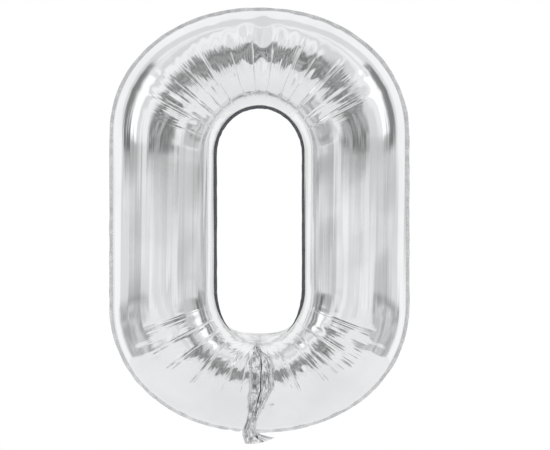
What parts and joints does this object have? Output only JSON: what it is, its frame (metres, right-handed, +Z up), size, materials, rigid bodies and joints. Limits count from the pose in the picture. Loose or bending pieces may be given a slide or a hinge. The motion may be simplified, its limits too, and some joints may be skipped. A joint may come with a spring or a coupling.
{
  "type": "foil number balloon",
  "caption": "Inflated silver foil balloon in the shape of the digit 0, with a folding fill neck and a clear self-sealing valve.",
  "frame": {"origin": "top of the outer weld, at the middle of the digit's width and depth, where the balloon is hung", "axes": "+Z up, the face of the digit looks along -Y, +X to the viewer's right"},
  "size_m": [0.607, 0.2068, 0.877],
  "materials": {
    "foil": "mirror silver metallised film",
    "weld": "silver film, heat sealed and finely ribbed",
    "valve_film": "clear polyethylene film"
  },
  "bodies": {
    "balloon": {"front_panel": "foil", "back_panel": "foil", "outer_weld": "weld", "inner_weld": "weld", "valve_inlet_front": "valve_film", "valve_inlet_back": "valve_film"},
    "neck": {"neck_front_film": "foil", "neck_back_film": "foil", "neck_weld_left": "weld", "neck_weld_right": "weld", "neck_valve_front": "valve_film", "neck_valve_back": "valve_film"},
    "tail": {"tail_front_film": "foil", "tail_back_film": "foil", "tail_weld_left": "weld", "tail_weld_right": "weld", "tail_valve_front": "valve_film", "tail_valve_back": "valve_film"},
    "mouth": {"mouth_front_film": "foil", "mouth_back_film": "foil", "mouth_weld_left": "weld", "mouth_weld_right": "weld", "mouth_valve_front": "valve_film", "mouth_valve_back": "valve_film"}
  },
  "joints": [
    {"name": "neck_lift", "type": "hinge", "parent": "balloon", "child": "neck", "pos_m": [0, -0.0003, -0.676], "axis": [-1, 0, 0], "range_deg": [0, 100]},
    {"name": "tail_swing", "type": "hinge", "parent": "neck", "child": "tail", "pos_m": [0, -0.1069, -0.76715], "axis": [-1, 0, 0], "range_deg": [0, 110]},
    {"name": "mouth_flick", "type": "hinge", "parent": "tail", "child": "mouth", "pos_m": [0, -0.1069, -0.81275], "axis": [-1, 0, 0], "range_deg": [-8, 120]}
  ]
}
